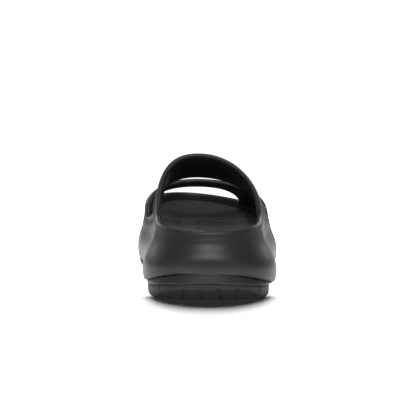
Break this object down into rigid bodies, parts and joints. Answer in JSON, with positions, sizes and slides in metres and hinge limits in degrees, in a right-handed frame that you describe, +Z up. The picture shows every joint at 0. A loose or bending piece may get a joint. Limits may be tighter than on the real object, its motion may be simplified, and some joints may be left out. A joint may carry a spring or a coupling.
{
  "type": "sport slide sandal",
  "caption": "Open-toed foam slide sandal for a right foot, with two moulded instep bands joined at the sides, a raised heel collar, a ribbed dished footbed and a grooved sole.",
  "frame": {"origin": "on the floor, under the middle of the bounding box", "axes": "+Y towards the toes, +X towards the outer (little toe) side, +Z up"},
  "size_m": [0.1196, 0.2966, 0.099],
  "materials": {
    "foam_shell": "satin moulded foam",
    "foam_bed": "matt moulded foam with fine cross ribs",
    "foam_core": "satin moulded foam",
    "tread": "matt moulded foam"
  },
  "bodies": {
    "root": {"upper": "foam_shell", "footbed": "foam_bed", "midsole": "foam_core", "outsole": "tread"}
  },
  "joints": []
}
